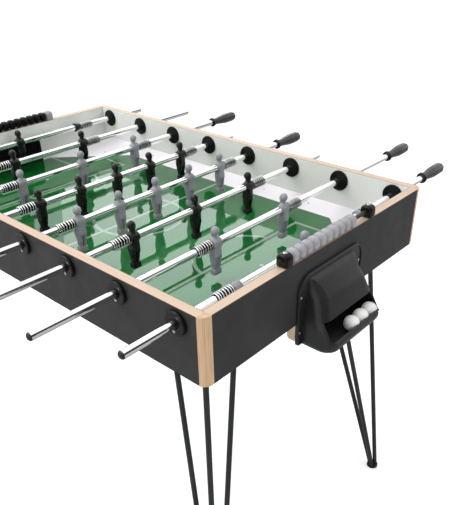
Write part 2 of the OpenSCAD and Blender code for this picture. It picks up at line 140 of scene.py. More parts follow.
def ring_z(z, rx, ry, count=24, power=2.0, cx=0.0, cy=0.0):
    """A superellipse level at height z."""
    out = []
    for k in range(count):
        a = 2 * math.pi * k / count
        c, s = math.cos(a), math.sin(a)
        out.append((cx + rx * math.copysign(abs(c) ** (2 / power), c),
                    cy + ry * math.copysign(abs(s) ** (2 / power), s), z))
    return out


def rounded_polygon(points, radii, steps=5):
    """The outline with its corners replaced by arcs: radii is one radius for all or one for each."""
    out = []
    n = len(points)
    for k in range(n):
        p = Vector(points[k])
        a = (Vector(points[k - 1]) - p).normalized()
        b = (Vector(points[(k + 1) % n]) - p).normalized()
        r = radii[k] if hasattr(radii, "__len__") else radii
        if r <= 0:
            out.append(tuple(p))
            continue
        half = a.angle(b) / 2
        reach = r / math.tan(half)
        centre = p + (a + b).normalized() * (r / math.sin(half))
        start, end = p + a * reach - centre, p + b * reach - centre
        for i in range(steps + 1):
            out.append(tuple(centre + start.lerp(end, i / steps).normalized() * r))
    return out


def bevelled(bm, width, segments=2, angle=30.0):
    """bm with its sharp edges rounded."""
    obj = temp_object(bm)
    mod = obj.modifiers.new("bevel", "BEVEL")
    mod.width = width
    mod.segments = segments
    mod.limit_method = "ANGLE"
    mod.angle_limit = math.radians(angle)
    return take_mesh(obj)


def prism(outline, low, high, place):
    """A solid from a flat outline: place(a, b, c) turns outline coordinates and height into a point."""
    bm = bmesh.new()
    add_loft(bm, [[place(a, b, low) for a, b in outline], [place(a, b, high) for a, b in outline]])
    return fix_normals(bm)


def cut(bm, cutter):
    """bm without what lies inside cutter; both are used up."""
    base, tool = temp_object(bm), temp_object(cutter)
    mod = base.modifiers.new("cut", "BOOLEAN")
    mod.operation = "DIFFERENCE"
    mod.solver = "EXACT"
    mod.object = tool
    out = take_mesh(base)
    discard(tool)
    return out


# ---------- materials ----------

class Nodes:
    """A material's node tree with short calls for what the materials here use."""

    def __init__(self, name):
        self.material = bpy.data.materials.new(name)
        self.material.use_nodes = True
        self.tree = self.material.node_tree
        self.shader = self.tree.nodes["Principled BSDF"]
        self.output = self.tree.nodes["Material Output"]
        self.object_coords = self.add("ShaderNodeTexCoord").outputs["Object"]

    def add(self, kind):
        return self.tree.nodes.new(kind)

    def link(self, source, target):
        self.tree.links.new(source, target)

    def set(self, **values):
        """Numbers on the shader's own sockets, named with _ for a space."""
        for key, value in values.items():
            self.shader.inputs[key.replace("_", " ")].default_value = value
        return self

    def put(self, value, socket):
        """Sets a number on a socket, or links another socket to it."""
        if isinstance(value, (int, float)):
            socket.default_value = value
        else:
            self.link(value, socket)

    def math(self, operation, a, b=0.0, c=0.0):
        node = self.add("ShaderNodeMath")
        node.operation = operation
        for value, socket in zip((a, b, c), node.inputs):
            self.put(value, socket)
        return node.outputs[0]

    def scaled(self, scale):
        """Object coordinates, stretched."""
        node = self.add("ShaderNodeMapping")
        node.inputs["Scale"].default_value = scale
        self.link(self.object_coords, node.inputs["Vector"])
        return node.outputs[0]

    def noise(self, scale, detail=3.0, roughness=0.5, stretch=(1, 1, 1)):
        node = self.add("ShaderNodeTexNoise")
        node.inputs["Scale"].default_value = scale
        node.inputs["Detail"].default_value = detail
        node.inputs["Roughness"].default_value = roughness
        self.link(self.scaled(stretch), node.inputs["Vector"])
        return node.outputs["Fac"]

    def ramp(self, factor, stops):
        """stops: (position, colour), dark to light or as given."""
        node = self.add("ShaderNodeValToRGB")
        elements = node.color_ramp.elements
        while len(elements) < len(stops):
            elements.new(0.5)
        for element, (position, colour) in zip(elements, stops):
            element.position = position
            element.color = (*colour, 1.0)
        self.link(factor, node.inputs["Fac"])
        return node.outputs["Color"]

    def range(self, value, low, high, to_low, to_high):
        """The value's range low to high, mapped to to_low to to_high."""
        node = self.add("ShaderNodeMapRange")
        for key, number in (("From Min", low), ("From Max", high), ("To Min", to_low), ("To Max", to_high)):
            node.inputs[key].default_value = number
        self.link(value, node.inputs["Value"])
        return node.outputs["Result"]

    def mix(self, factor, a, b):
        """The colour a at factor 0 and b at factor 1."""
        node = self.add("ShaderNodeMix")
        node.data_type = "RGBA"
        self.put(factor, node.inputs["Factor"])
        for value, socket in ((a, node.inputs[6]), (b, node.inputs[7])):
            if isinstance(value, tuple):
                socket.default_value = (*value, 1.0)
            else:
                self.link(value, socket)
        return node.outputs[2]

    def bump(self, height, strength, distance=0.001):
        node = self.add("ShaderNodeBump")
        node.inputs["Strength"].default_value = strength
        node.inputs["Distance"].default_value = distance
        self.link(height, node.inputs["Height"])
        self.link(node.outputs["Normal"], self.shader.inputs["Normal"])

    def colour(self, socket):
        self.link(socket, self.shader.inputs["Base Color"])

    def rough(self, socket):
        self.link(socket, self.shader.inputs["Roughness"])


def plastic(name, dark, light, rough, bump=0.15, grain=900.0, mottle=14.0, specular=0.5):
    """Moulded plastic: a slight mottle, a fine moulding grain and an uneven gloss."""
    n = Nodes(name).set(Specular_IOR_Level=specular)
    n.colour(n.ramp(n.noise(mottle, 4.0), [(0.35, dark), (0.65, light)]))
    n.rough(n.range(n.noise(60.0, 3.0), 0.3, 0.7, rough * 0.85, rough * 1.15))
    n.bump(n.noise(grain, 2.0), bump, 0.0002)
    return n.material


def metal(name, dark, light, rough, streak=(1, 1, 1), bump=0.03):
    """Plated or polished metal with faint polishing marks."""
    n = Nodes(name).set(Metallic=1.0)
    marks = n.noise(160.0, 3.0, 0.6, streak)
    n.colour(n.ramp(marks, [(0.3, dark), (0.7, light)]))
    n.rough(n.range(marks, 0.3, 0.7, rough * 0.7, rough * 1.3))
    n.bump(marks, bump, 0.0001)
    return n.material


def wood(name, pale, mid, dark, along, rough=0.45, fleck=0.35, figure=42.0):
    """Wood with its grain along one axis: broad figure, fine pores and a little bump."""
    stretch = tuple(0.04 if k == along else 1.0 for k in range(3))
    n = Nodes(name)
    broad = n.noise(figure, 4.0, 0.6, stretch)
    fine = n.noise(420.0, 3.0, 0.65, stretch)
    base = n.ramp(broad, [(0.3, mid), (0.62, pale)])
    pores = n.range(fine, 0.5, 0.68, 0.0, fleck)
    n.colour(n.mix(pores, base, dark))
    n.rough(n.range(fine, 0.3, 0.7, rough * 0.9, rough * 1.15))
    n.bump(fine, 0.25, 0.0003)
    return n.material


def laminate(name, dark, light, rough, bump, cell=1400.0, specular=0.5):
    """Pressed laminate: a fine pearl texture over an even colour, and a brown core along the rim."""
    n = Nodes(name).set(Specular_IOR_Level=specular)
    split = n.add("ShaderNodeSeparateXYZ")
    n.link(n.object_coords, split.inputs[0])
    at_rim = n.math("GREATER_THAN", split.outputs[2], (RIM_Z - 0.4) * MM)
    face = n.ramp(n.noise(9.0, 5.0, 0.6), [(0.35, dark), (0.65, light)])
    n.colour(n.mix(at_rim, face, (0.16, 0.075, 0.040)))
    n.rough(n.range(n.noise(35.0, 3.0), 0.3, 0.7, rough * 0.9, rough * 1.12))
    n.bump(n.noise(cell, 2.0, 0.7), bump, 0.00015)
    return n.material


def field_print():
    """The printed pitch: pale lines on green, drawn from the place on the board."""
    line = 4.2                # half a line's width
    pen_x, pen_y = 332.0, 227.0
    goal_x, goal_y = 456.0, 123.0
    spot_x, arc_x, arc_r, circle_r = 407.0, 360.0, 116.0, 115.0
    n = Nodes("field_print_green")
    split = n.add("ShaderNodeSeparateXYZ")
    n.link(n.object_coords, split.inputs[0])
    x = n.math("MULTIPLY", split.outputs[0], 1000.0)
    y = n.math("MULTIPLY", split.outputs[1], 1000.0)
    ax, ay = n.math("ABSOLUTE", x), n.math("ABSOLUTE", y)

    def near(value, target):
        return n.math("COMPARE", value, target, line)

    def both(a, b):
        return n.math("MULTIPLY", a, b)

    def over(value, limit):
        return n.math("GREATER_THAN", value, limit)

    def under(value, limit):
        return n.math("LESS_THAN", value, limit)

    def distance(a, b):
        return n.math("SQRT", n.math("ADD", n.math("MULTIPLY", a, a), n.math("MULTIPLY", b, b)))

    from_middle = distance(x, y)
    from_spot = distance(n.math("SUBTRACT", ax, spot_x), y)
    from_arc = distance(n.math("SUBTRACT", ax, arc_x), y)
    marks = [
        near(x, 0.0),
        near(from_middle, circle_r),
        under(from_middle, 6.0),
        both(near(ax, pen_x), under(ay, pen_y + line)),
        both(near(ay, pen_y), over(ax, pen_x - line)),
        both(near(ax, goal_x), under(ay, goal_y + line)),
        both(near(ay, goal_y), over(ax, goal_x - line)),
        under(from_spot, 5.0),
        both(near(from_arc, arc_r), under(ax, pen_x)),
    ]
    paint = marks[0]
    for mark in marks[1:]:
        paint = n.math("MAXIMUM", paint, mark)
    green = n.ramp(n.noise(7.0, 4.0), [(0.35, (0.012, 0.40, 0.070)), (0.65, (0.016, 0.46, 0.084))])
    n.colour(n.mix(paint, green, (0.93, 0.98, 0.93)))
    n.rough(n.range(n.noise(60.0), 0.3, 0.7, 0.45, 0.55))
    n.bump(n.noise(700.0, 2.0), 0.05, 0.0002)
    return n.material


def pane_glass():
    """Clear float glass that lets the lamps through to the print below it."""
    n = Nodes("pane_glass").set(Transmission_Weight=1.0, Roughness=0.0, IOR=1.85)
    n.colour(n.ramp(n.noise(4.0, 2.0), [(0.3, (0.92, 0.975, 0.94)), (0.7, (0.94, 0.985, 0.96))]))
    n.shader.inputs["Specular Tint"].default_value = (0.74, 1.0, 0.88, 1.0)
    clear = n.add("ShaderNodeBsdfTransparent")
    clear.inputs["Color"].default_value = (0.90, 0.96, 0.92, 1.0)
    path = n.add("ShaderNodeLightPath")
    mix = n.add("ShaderNodeMixShader")
    n.link(path.outputs["Is Shadow Ray"], mix.inputs[0])
    n.link(n.shader.outputs[0], mix.inputs[1])
    n.link(clear.outputs[0], mix.inputs[2])
    n.link(mix.outputs[0], n.output.inputs["Surface"])
    return n.material


BEECH = ((0.59, 0.45, 0.335), (0.54, 0.405, 0.295), (0.40, 0.27, 0.18))
beech_x = wood("beech_along_x", *BEECH, along=0, fleck=0.30)
beech_y = wood("beech_along_y", *BEECH, along=1, fleck=0.30)
oak_z = wood("oak_upright", (0.64, 0.43, 0.26), (0.52, 0.33, 0.19), (0.30, 0.18, 0.09), along=2, fleck=0.45,
             figure=130.0)
black_laminate = laminate("black_laminate_pearl", (0.025, 0.025, 0.026), (0.031, 0.031, 0.032), 0.45, 0.35,
                          specular=0.22)
pale_laminate = laminate("pale_laminate_gloss", (0.75, 0.77, 0.73), (0.79, 0.81, 0.77), 0.16, 0.05)
ramp_white = plastic("ramp_white_gloss", (0.80, 0.77, 0.81), (0.84, 0.81, 0.85), 0.22, 0.04, 400.0)
liner_black = plastic("liner_black_matt", (0.005, 0.005, 0.005), (0.008, 0.008, 0.008), 0.6)
box_black = plastic("box_black_textured", (0.013, 0.013, 0.014), (0.019, 0.019, 0.020), 0.36, 0.35, 1100.0,
                    specular=0.42)
bearing_black = plastic("bearing_black_satin", (0.005, 0.005, 0.005), (0.007, 0.007, 0.007), 0.24, 0.06,
                        specular=0.25)
ball_white = plastic("ball_white_matt", (0.83, 0.82, 0.80), (0.88, 0.87, 0.85), 0.42, 0.25, 500.0)
grip_black = plastic("grip_charcoal", (0.024, 0.024, 0.025), (0.032, 0.032, 0.034), 0.24, 0.08, 800.0)
collar_black = plastic("collar_black", (0.008, 0.008, 0.008), (0.012, 0.012, 0.012), 0.30, 0.08)
player_black = plastic("player_black_gloss", (0.006, 0.006, 0.006), (0.009, 0.009, 0.009), 0.28, 0.06, 300.0,
                       specular=0.35)
player_grey = plastic("player_grey_gloss", (0.235, 0.25, 0.265), (0.28, 0.295, 0.315), 0.32, 0.06, 300.0)
scorer_black = plastic("scorer_black_gloss", (0.003, 0.003, 0.003), (0.005, 0.005, 0.005), 0.18, 0.04, 300.0,
                       specular=0.2)
scorer_grey = plastic("scorer_grey_satin", (0.29, 0.29, 0.31), (0.325, 0.325, 0.35), 0.34, 0.08, 300.0)
leg_black = plastic("leg_black_powder", (0.011, 0.011, 0.011), (0.016, 0.016, 0.016), 0.38, 0.45, 1500.0)
chrome = metal("rod_chrome_polished", (0.90, 0.90, 0.91), (0.96, 0.96, 0.96), 0.05, (1, 0.05, 1))
spring_chrome = metal("spring_chrome", (0.84, 0.84, 0.85), (0.92, 0.92, 0.93), 0.20)
screw_zinc = metal("screw_zinc", (0.55, 0.55, 0.56), (0.70, 0.70, 0.72), 0.28, bump=0.10)

for name, material in {
        "side_panel_near": beech_x, "side_panel_far": beech_x, "end_panel_near": beech_y,
        "end_panel_far": beech_y, "corner_posts": oak_z, "outer_laminate": black_laminate,
        "inner_laminate": pale_laminate, "field_board": field_print(), "field_glass": pane_glass(),
        "field_ramps": ramp_white, "goal_liners": liner_black, "balls": ball_white,
        "outer_bearings": bearing_black, "score_rods": leg_black,
        "leg_near_left": leg_black, "leg_near_right": leg_black, "leg_far_left": leg_black,
        "leg_far_right": leg_black, "bearing_screws": screw_zinc, "box_and_score_screws": screw_zinc,
        "leg_screws": screw_zinc, **{f"rod_{i}": chrome for i in range(1, 9)}}.items():
    nodes[name].data.materials.clear()
    nodes[name].data.materials.append(material)
for name in ["balls", "outer_bearings", "score_rods", "leg_near_left", "leg_near_right",
             "leg_far_left", "leg_far_right", "corner_posts", *[f"rod_{i}" for i in range(1, 9)]]:
    for p in nodes[name].data.polygons:
        p.use_smooth = True
    nodes[name].data.set_sharp_from_angle(angle=math.radians(35))


# ---------- figures ----------

def add_ball(bm, centre, radii, rings=12, count=20):
    """An ellipsoid."""
    cx, cy, cz = centre
    rows = []
    for k in range(1, rings):
        a = math.pi * k / rings
        rows.append([(cx + radii[0] * math.sin(a) * math.cos(t), cy + radii[1] * math.sin(a) * math.sin(t),
                      cz - radii[2] * math.cos(a)) for t in [2 * math.pi * j / count for j in range(count)]])
    add_loft(bm, rows)


def add_limb(bm, a, b, ra, rb, count=14):
    """A tapered limb between two points, with rounded ends."""
    a, b = Vector(a), Vector(b)
    d = (b - a).normalized()
    side = d.orthogonal().normalized()
    up = d.cross(side)
    rows = []
    for base, r, angles in ((a, ra, (-80, -50, -20, 0)), (b, rb, (0, 20, 50, 80))):
        for t in angles:
            c, s = math.cos(math.radians(t)), math.sin(math.radians(t))
            rows.append([tuple(base + d * r * s + (side * math.cos(w) + up * math.sin(w)) * r * c)
                         for w in [2 * math.pi * j / count for j in range(count)]])
    add_loft(bm, rows)


def figure_mesh():
    """One moulded figure about the rod's axis, chest to +X, standing up."""
    bm = bmesh.new()
    torso = [  # height, half depth, half width, squareness, how far forward
        (-30, 10.2, 11.2, 2.8, -0.2), (-25, 11.2, 12.3, 3.0, -0.4), (-20, 11.2, 12.3, 3.0, -0.2),
        (-13, 10.8, 11.9, 3.0, 0.2), (-7, 11.0, 12.1, 3.0, 0.4), (0, 11.4, 12.4, 3.4, 0.4),
        (6, 11.0, 12.4, 3.2, 0.2), (9.5, 8.4, 11.0, 2.8, 0.0), (12.5, 6.4, 8.2, 2.4, 0.0),
        (15.5, 5.4, 5.8, 2.2, 0.0)]
    add_loft(bm, [ring_z(z, rx, ry, 28, power, cx) for z, rx, ry, power, cx in torso])
    barrel = ((-12.5, 9.9), (-11.8, 10.8), (11.8, 10.8), (12.5, 9.9))
    add_loft(bm, [ring_y(y, r, 32) for y, r in barrel])
    leg = [  # height, half depth, half width, squareness, how far forward, distance from the middle
        (-58.5, 6.4, 4.0, 2.8, 0.0, 4.4), (-53, 6.6, 4.0, 2.6, 0.0, 4.7), (-48, 7.8, 4.3, 2.5, -0.4, 5.2),
        (-41, 9.0, 4.8, 2.5, -0.6, 5.7), (-36, 9.4, 5.0, 2.5, 0.0, 5.8), (-30, 10.4, 5.6, 2.6, 0.0, 6.0),
        (-24, 10.8, 6.0, 2.6, 0.0, 6.2)]
    add_limb(bm, (0, 0, 8), (0.4, 0, 20), 6.2, 5.6)                    # neck
    add_ball(bm, (-0.6, 0, 27.4), (9.3, 9.1, 9.6), 16, 28)             # skull
    add_ball(bm, (0.9, 0, 24.6), (8.5, 7.9, 10.4), 16, 28)             # face
    add_ball(bm, (5.4, 0, 17.6), (3.4, 4.2, 3.4))                      # chin
    add_ball(bm, (8.9, 0, 23.8), (1.4, 1.4, 2.6))                      # nose
    for s in (-1, 1):
        add_loft(bm, [ring_z(z, rx, ry, 20, power, cx, s * cy) for z, rx, ry, power, cx, cy in leg])
        add_ball(bm, (0.2, s * 8.7, 24.6), (2.1, 1.2, 3.0))            # ear
        add_ball(bm, (6.2, s * 5.0, 3.4), (5.2, 5.6, 5.2))             # chest
        add_ball(bm, (-6.2, s * 5.4, 3.6), (5.3, 5.4, 6.6))            # shoulder blade
        add_ball(bm, (-5.6, s * 5.4, -25.6), (6.4, 6.0, 7.4))          # seat
        add_ball(bm, (5.4, s * 2.2, 21.6), (2.6, 2.6, 2.2))            # cheek
    obj = temp_object(fix_normals(bm))
    remesh = obj.modifiers.new("skin", "REMESH")
    remesh.mode = "VOXEL"
    remesh.voxel_size = 0.6
    smooth = obj.modifiers.new("soften", "SMOOTH")
    smooth.factor = 0.5
    smooth.iterations = 2
    lighter = obj.modifiers.new("lighter", "DECIMATE")
    lighter.ratio = 0.22
    skin = take_mesh(obj)
    for p in skin.faces:
        p.smooth = True
    foot = bmesh.new()
    block = [(-6.8, -10.2), (6.8, -10.2), (6.8, 10.2), (-6.8, 10.2)]
    add_loft(foot, [[(x, y, z) for x, y in rounded_polygon(block, 0.9, 3)] for z in (-70.4, -57.8)])
    foot = bevelled(fix_normals(foot), 0.45, 2, 35)
    add_mesh(skin, foot)
    foot.free()
    return skin


def bumper_mesh():
    """A rubber bumper: a flange on the figure's side and a stepped, tapering body."""
    bm = bmesh.new()
    profile = [(-9, 8.2), (-9, 12.2), (-8.4, 12.9), (-6.6, 12.9), (-5.9, 12.2), (-5.6, 11.2), (-4.6, 11.4),
               (-2, 11.7), (1, 11.4), (4, 10.3), (7.5, 9.2), (8.7, 8.8), (9, 8.2)]
    add_loft(bm, [ring_y(y, r, 32) for y, r in profile], closed_ends=False)
    return fix_normals(bm)


FIGURES = {"keeper": 1, "two": 2, "three": 3, "five": 5}
KINDS = ["keeper", "two", "three", "five", "five", "three", "two", "keeper"]
DARK_ROWS = (1, 2, 4, 6)      # the black team; the others are grey
SHOULDER_W = 25.0
BUMPER_W = 18.0
figure = figure_mesh()
bumper = bumper_mesh()


def corners(node):
    """A CAD node's lowest and highest corners in millimetres."""
    low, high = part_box(node)
    return low / MM, high / MM


def build_players(i):
    """The figures of one row, and the bumpers of a keeper's row."""
    low, high = corners(f"players_{i}")
    rod_low, rod_high = corners(f"rod_{i}")
    x = (rod_low.x + rod_high.x) / 2
    z = (rod_low.z + rod_high.z) / 2
    middle = (low.y + high.y) / 2
    kind = KINDS[i - 1]
    count = FIGURES[kind]
    dark = i in DARK_ROWS
    turn = Matrix.Identity(4) if dark else Matrix.Rotation(math.pi, 4, "Z")
    pitch = (high.y - low.y - SHOULDER_W) / (count - 1) if count > 1 else 0.0
    bm = bmesh.new()
    for k in range(count):
        y = middle + (k - (count - 1) / 2) * pitch
        add_mesh(bm, figure, Matrix.Translation((x, y, z)) @ turn)
    if kind == "keeper":
        for side in (-1, 1):
            y = middle + side * ((high.y - low.y) / 2 - BUMPER_W / 2)
            flip = Matrix.Identity(4) if side > 0 else Matrix.Rotation(math.pi, 4, "Z")
            add_mesh(bm, bumper, Matrix.Translation((x, y, z)) @ flip)
    material, slot = (player_black, "player_black") if dark else (player_grey, "player_grey")
    obj = make(f"players_{i}_moulded", bm, material, f"row_{i}", slot, sharp=50)
    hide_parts(f"players_{i}")


# ---------- springs and grips ----------

def add_coil(bm, start, end, centre, wire, turns, x, z, per_turn=18, sides=6):
    """A coil spring about a line along Y, with its end turns closed up."""
    rows = []
    steps = int(turns * per_turn)
    closing = 0.035           # how much the pitch eases off towards the ends
    for k in range(steps + 1):
        t = k / steps
        a = 2 * math.pi * turns * t
        ease = t - closing * math.sin(2 * math.pi * t)
        y = start + wire + (end - start - 2 * wire) * ease
        out = Vector((math.cos(a), 0, math.sin(a)))
        p = Vector((x, y, z)) + out * centre
        row = []
        for j in range(sides):
            w = 2 * math.pi * j / sides
            row.append(tuple(p + out * wire * math.cos(w) + Vector((0, 1, 0)) * wire * math.sin(w)))
        rows.append(row)
    add_loft(bm, rows)


SPRING_PLACE = 50.0           # length kept for a spring on either side of a row's figures
SPRING_L = 45.0               # a coil leaves the outer end of its place free
SPRING_R, WIRE_R, TURNS = 11.4, 1.25, 7
# the radii of the thin black sleeves inside the coils: painted shade for the dark gaps between the turns
SHADE_SLEEVE_IN, SHADE_SLEEVE_OUT = 8.3, 8.7


def build_springs(i):
    """Two coils on one rod, each round a thin black sleeve that paints the shade seen in the gaps between the
    turns.
    """
    body = f"springs_{i}"
    low, high = corners(body)
    x, z = (low.x + high.x) / 2, (low.z + high.z) / 2
    coils, shade_sleeves = bmesh.new(), bmesh.new()
    for start in (low.y + SPRING_PLACE - SPRING_L, high.y - SPRING_PLACE):
        end = start + SPRING_L
        add_coil(coils, start, end, SPRING_R, WIRE_R, TURNS, x, z)
        # a black sleeve just inside the coil: painted shade, seen through the gaps between the turns
        rings = ((start + 1, SHADE_SLEEVE_IN), (start + 1, SHADE_SLEEVE_OUT), (end, SHADE_SLEEVE_OUT), (end, SHADE_SLEEVE_IN))
        add_loft(shade_sleeves, [ring_y(y, r, 32, x, z) for y, r in rings], closed_ends=False)
    obj = make(f"springs_{i}_coiled", fix_normals(coils), spring_chrome, body, "spring_steel", sharp=60)
    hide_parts(f"springs_{i}")
    # the sleeves are painted shade, not a part of the table
    make(f"spring_shade_sleeves_{i}", fix_normals(shade_sleeves), bearing_black, body, "bearing_black")


GRIP_L = 106.0


def build_grip(i):
    """A collar and a faceted grip on one end of a rod, and a cap on the other."""
    low, high = corners(f"grip_{i}")
    x, z = (low.x + high.x) / 2, (low.z + high.z) / 2
    side = -1 if i in DARK_ROWS else 1
    end = high.y if side > 0 else low.y

    def at(t):                # t is counted from the collar's inner face, outwards
        return end - side * (GRIP_L - t)

    bm = bmesh.new()
    profile = [(7.2, 9.6), (9, 9.9), (18, 10.2), (30, 11.2), (44, 13.0), (58, 14.8), (64, 15.0), (76, 15.0),
               (90, 14.8), (99, 14.0), (103.5, 12.4), (105.5, 10.4), (106, 9.0)]
    add_loft(bm, [ring_y(at(t), r, 8, x, z, math.pi / 8) for t, r in profile])
    grip = bevelled(fix_normals(bm), 0.45, 2, 24)
    obj = make(f"grip_{i}_faceted", grip, grip_black, f"row_{i}", "grip_black", sharp=28)
    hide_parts(f"grip_{i}")
    bm = bmesh.new()
    collar = [(0.0, 8.15), (0.0, 12.3), (0.8, 13.4), (1.8, 13.6), (5.4, 13.6), (6.6, 13.0), (7.4, 11.4),
              (7.6, 9.0)]
    add_loft(bm, [ring_y(at(t), r, 40, x, z) for t, r in collar])
    cap_end = low.y if side > 0 else high.y
    cap = [(0.0, 0.8), (0.3, 3.0), (1.2, 5.2), (2.6, 6.9), (4.2, 7.85), (5.0, 8.0)]
    add_loft(bm, [ring_y(cap_end + side * t, r, 36, x, z) for t, r in cap])
    make(f"rod_ends_{i}", fix_normals(bm), collar_black, f"row_{i}", "grip_black", sharp=50)


for row in range(1, 9):
    build_players(row)
    build_springs(row)
    build_grip(row)
figure.free()
bumper.free()


# ---------- inner bearings ----------

HALF_L, HALF_W = 585.0, 366.0            # the cabinet's half length and half width
ROD_PITCH = 150.0
ROD_X = [(i - 4.5) * ROD_PITCH for i in range(1, 9)]
low, high = corners("rod_1")
AXIS_Z = (low.z + high.z) / 2


def build_inner_bearings():
    """Stepped discs on the inside of both long sides, one pair to a rod."""
    reach = corners("inner_bearings")[1].y
    bore = 8.2
    steps = [(25.5, 4.0), (21.0, 7.5), (16.5, 10.5), (12.0, 13.0)]   # radius, distance out from the wall
    inner_radii = [r for r, t in steps[1:]] + [bore]
    profile = [(0.0, bore), (0.0, steps[0][0])]
    for (r, t), inner in zip(steps, inner_radii):
        profile += [(t - 0.9, r), (t - 0.25, r - 0.25), (t, r - 0.9)]      # rounded outer edge
        profile += [(t, inner + 0.9), (t - 0.6, inner + 0.2)]              # groove at the next step's foot
    bm = bmesh.new()
    for x in ROD_X:
        for s in (-1, 1):
            rings = [ring_y(s * (reach - t), r, 40, x, AXIS_Z) for t, r in profile]
            add_loft(bm, rings, closed_ends=False)
    obj = make("inner_bearings_stepped", fix_normals(bm), bearing_black, "table", "bearing_black", sharp=32)
    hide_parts("inner_bearings")


build_inner_bearings()


# ---------- scorers ----------

def chamfered(half_w, up, down, c):
    """A section with its corners cut off by c; it reaches up and down from its centre."""
    return [(-half_w + c, up), (half_w - c, up), (half_w, up - c), (half_w, -down + c), (half_w - c, -down),
            (-half_w + c, -down), (-half_w, -down + c), (-half_w, up - c)]


BEADS = 10
BEAD_HALF_W, BEAD_CORNER = 12.5, 5.5


def build_beads(node, material, slot, body):
    """A scorer's square beads, with a narrow gap between one and the next."""
    low, high = corners(node)
    x, z = (low.x + high.x) / 2, (low.z + high.z) / 2
    pitch = (high.y - low.y + 0.2) / BEADS
    half = (high.z - low.z) / 2
    slope = 5.2               # how far a bead's ends are chamfered
    out = bmesh.new()
    for k in range(BEADS):
        y = low.y + pitch * k + 1.1
        bead = bmesh.new()
        end = y + pitch - 2.4
        levels = ((y, slope), (y + 0.7 * slope, 0.0), (end - 0.7 * slope, 0.0), (end, slope))
        sections = [(c, chamfered(BEAD_HALF_W - g, half - g, half - g, BEAD_CORNER - g / 2))
                    for c, g in levels]
        add_loft(bead, [[(x + a, c, z + b) for a, b in section] for c, section in sections])
        bead = bevelled(fix_normals(bead), 0.5, 2, 20)
        add_mesh(out, bead)
        bead.free()
    obj = make(f"{node}_moulded", out, material, body, slot, sharp=60)
    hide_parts(node)


def build_blocks(node, material, slot):
    """The two end blocks of a scorer."""
    low, high = corners(node)
    x, z0, z1 = (low.x + high.x) / 2, low.z, high.z
    length = 22.0
    out = bmesh.new()
    for y in (low.y, high.y - length):
        block = prism(rounded_polygon([(-13, 0), (13, 0), (13, z1 - z0), (-13, z1 - z0)], [5, 5, 9, 9], 5),
                      y, y + length, lambda a, b, c: (x + a, c, z0 + b))
        block = bevelled(block, 4.6, 5, 60)
        add_mesh(out, block)
        block.free()
    obj = make(f"{node}_moulded", out, material, "table", slot, sharp=60)
    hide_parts(node)


build_beads("score_beads_near", scorer_grey, "scorer_grey", "beads_near")
build_beads("score_beads_far", scorer_black, "scorer_black", "beads_far")
build_blocks("score_blocks_near", scorer_black, "scorer_black")
build_blocks("score_blocks_far", scorer_grey, "scorer_grey")


# ---------- screws ----------

def screw_head(radius, height):
    """A domed cross-head screw's head, standing on z = 0."""
    bm = bmesh.new()
    profile = [(0.0, radius), (0.35, radius), (0.7, radius * 0.9), (0.92, radius * 0.62), (1.0, radius * 0.3)]
    add_loft(bm, [ring_z(height * h, r, r, 20) for h, r in profile])
    fix_normals(bm)
    for turn in (0, 1):
        slot = prism([(-radius * 0.55, -radius * 0.13), (radius * 0.55, -radius * 0.13),
                      (radius * 0.55, radius * 0.13), (-radius * 0.55, radius * 0.13)],
                     height * 0.45, height * 1.5, lambda a, b, c: (a, b, c))
        slot.transform(Matrix.Rotation(math.radians(45 + 90 * turn), 4, "Z"))
        bm = cut(bm, slot)
    return bm


def face_along(axis):
    """A turn that takes +Z to the given direction."""
    return Vector((0, 0, 1)).rotation_difference(Vector(axis)).to_matrix().to_4x4()


def plant(name, head, places, material, slot, replaced=None):
    """Copies of a screw's head, each at (point, direction)."""
    bm = bmesh.new()
    for point, direction in places:
        add_mesh(bm, head, Matrix.Translation(point) @ face_along(direction))
    head.free()
    obj = make(name, bm, material, "table", slot, sharp=30)
    if replaced:
        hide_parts(replaced)


BOX_SHIFT = -2.0              # how far a ball box sits from the middle of its end
FLANGE_T = 6.0
BEARING_FACE, BEARING_SCREW_DROP = 7.5, 13.5
SCORE_X, SCORE_Y, SCORE_TOP = 574.5, 142.0, 26.0
BOX_SCREW_Y, BOX_SCREW_DROPS = 101.5, (81.0, 162.0)
plant("bearing_screw_heads", screw_head(3.5, 2.0),
      [((x, s * (HALF_W + BEARING_FACE), AXIS_Z - BEARING_SCREW_DROP), (0, s, 0))
       for x in ROD_X for s in (-1, 1)],
      screw_zinc, "screw_steel", "bearing_screws")
plant("score_screw_heads", screw_head(4.2, 2.0),
      [((s * SCORE_X, t * SCORE_Y, RIM_Z + SCORE_TOP), (0, 0, 1)) for s in (-1, 1) for t in (-1, 1)],
      screw_zinc, "screw_steel", "box_and_score_screws")
plant("box_screw_heads", screw_head(3.4, 1.8),
      [((s * (HALF_L + FLANGE_T - 3), s * (BOX_SHIFT + t * BOX_SCREW_Y), RIM_Z - z), (s, 0, 0))
       for s in (-1, 1) for t in (-1, 1) for z in BOX_SCREW_DROPS],
      screw_zinc, "screw_steel")

FIELD_Z = RIM_Z - 114.0
RAMP_RISE, RAMP_RUN = 20.0, 44.0         # a side strip's section
CORNER_GRADE = 0.148                     # how steeply a corner triangle rises
CORNER_PLACES = ((530.0, 190.0, 3.9), (462.0, 257.0, 3.7))
strip_up, corner_up = math.atan2(RAMP_RISE, RAMP_RUN), math.atan(CORNER_GRADE)
strip = [((x, s * 323.0, FIELD_Z + RAMP_RISE / 2), (0, -s * math.sin(strip_up), math.cos(strip_up)))
         for x in (-300.0, -150.0, 0.0, 150.0, 300.0) for s in (-1, 1)]
corner = [((sx * x, sy * y, FIELD_Z + h),
           (-sx * math.sin(corner_up) * 0.707, -sy * math.sin(corner_up) * 0.707, math.cos(corner_up)))
          for x, y, h in CORNER_PLACES for sx in (-1, 1) for sy in (-1, 1)]
plant("ramp_screw_heads", screw_head(3.2, 1.0), strip + corner, screw_zinc, "screw_steel")


